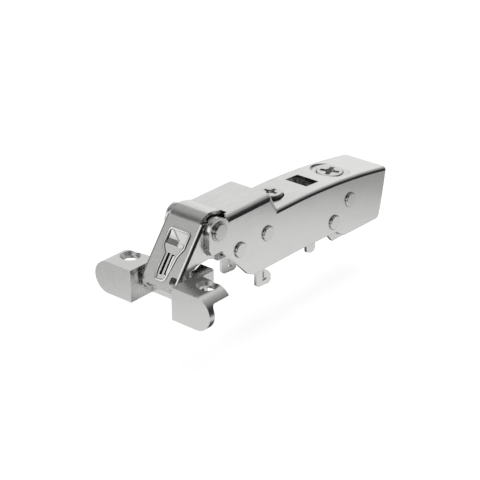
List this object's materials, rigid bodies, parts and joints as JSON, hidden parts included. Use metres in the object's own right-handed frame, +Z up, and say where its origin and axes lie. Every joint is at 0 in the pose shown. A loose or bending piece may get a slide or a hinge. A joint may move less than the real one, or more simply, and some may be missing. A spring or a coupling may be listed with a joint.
{
  "type": "clip-on furniture door hinge with a two-lug screw bracket in place of a round cup",
  "caption": "Furniture door hinge held open: long folded steel arm with adjusting screws, folding links and a door bracket with two screw lugs.",
  "frame": {"origin": "midway between the two door screw holes, on the flat tops of the bracket's lugs", "axes": "+X back along the arm toward its rear end, +Y toward the far lug, +Z up out of the door bracket's top face"},
  "size_m": [0.0973, 0.0418, 0.0301],
  "materials": {
    "casing_nickel": "satin nickel plate",
    "link_nickel": "satin nickel plate",
    "rail_nickel": "satin nickel plate",
    "bracket_nickel": "satin nickel plate on a zinc casting",
    "screw_steel": "nickel plate",
    "rivet_steel": "satin",
    "pin_steel": "ground",
    "inner_steel": "zinc plate",
    "spring_steel": "drawn wire",
    "damper_plastic": "moulded"
  },
  "bodies": {
    "rail": {"clip_rail": "rail_nickel", "lever_pin": "pin_steel", "lever_spring": "spring_steel"},
    "arm": {"arm_casing": "casing_nickel", "mechanism_cage": "inner_steel", "arm_pivot_pin": "rivet_steel", "pivot_washers": "rivet_steel", "inner_pivot_pin": "pin_steel", "inner_spacers": "pin_steel", "damper_housing": "damper_plastic", "closing_spring": "spring_steel", "front_rivets": "rivet_steel", "bridge_rivets": "rivet_steel", "rail_rivet": "rivet_steel", "cage_sleeves": "pin_steel", "cam_bridge": "inner_steel"},
    "link": {"outer_link": "link_nickel"},
    "inner": {"inner_link": "inner_steel", "guide_pin": "pin_steel", "yoke_pin": "pin_steel"},
    "bracket": {"door_bracket": "bracket_nickel", "link_pin": "pin_steel"},
    "fork": {"damper_fork": "damper_plastic"},
    "side": {"side_screw": "screw_steel"},
    "depth": {"depth_screw": "screw_steel"},
    "lever": {"release_lever": "rail_nickel"}
  },
  "joints": [
    {"name": "depth_slide", "type": "slide", "parent": "rail", "child": "arm", "axis": [1, 0, 0], "range_m": [-0.00145, 0.00145]},
    {"name": "fold", "type": "hinge", "parent": "arm", "child": "link", "pos_m": [0.0119, 0, 0.0097], "axis": [0, -1, 0], "range_deg": [0, 42.97], "deforming": ["closing_spring"]},
    {"name": "bracket_swing", "type": "hinge", "parent": "link", "child": "bracket", "pos_m": [-0.00099, 0, -0.00476], "axis": [0, 1, 0], "range_deg": [0, 138.1]},
    {"name": "inner_swing", "type": "hinge", "parent": "arm", "child": "inner", "pos_m": [0.0195, 0, 0.005], "axis": [0, -1, 0], "range_deg": [0, 43.8]},
    {"name": "damper_travel", "type": "slide", "parent": "arm", "child": "fork", "axis": [1, 0, 0], "range_m": [0, 0.00375]},
    {"name": "depth_turn", "type": "hinge", "parent": "arm", "child": "depth", "pos_m": [0.0723, 0, 0], "axis": [0, 0, 1], "range_deg": [-60.1, 60.1]},
    {"name": "side_turn", "type": "hinge", "parent": "arm", "child": "side", "pos_m": [0.0439, 0, 0], "axis": [0, 0, 1], "continuous": true},
    {"name": "lever_press", "type": "hinge", "parent": "rail", "child": "lever", "pos_m": [0.068, 0, -0.0109], "axis": [0, -1, 0], "range_deg": [0, 8], "stiffness_Nm_per_rad": 0.05, "springref_deg": -11.46, "deforming": ["lever_spring"]}
  ],
  "couplings": [
    {"joint": "bracket_swing", "follows": "fold", "ratio": 3.211},
    {"joint": "inner_swing", "follows": "fold", "ratio": 1.016},
    {"joint": "damper_travel", "follows": "fold", "m_per_rad": 0.00496},
    {"joint": "depth_turn", "follows": "depth_slide", "rad_per_m": 722.5}
  ]
}
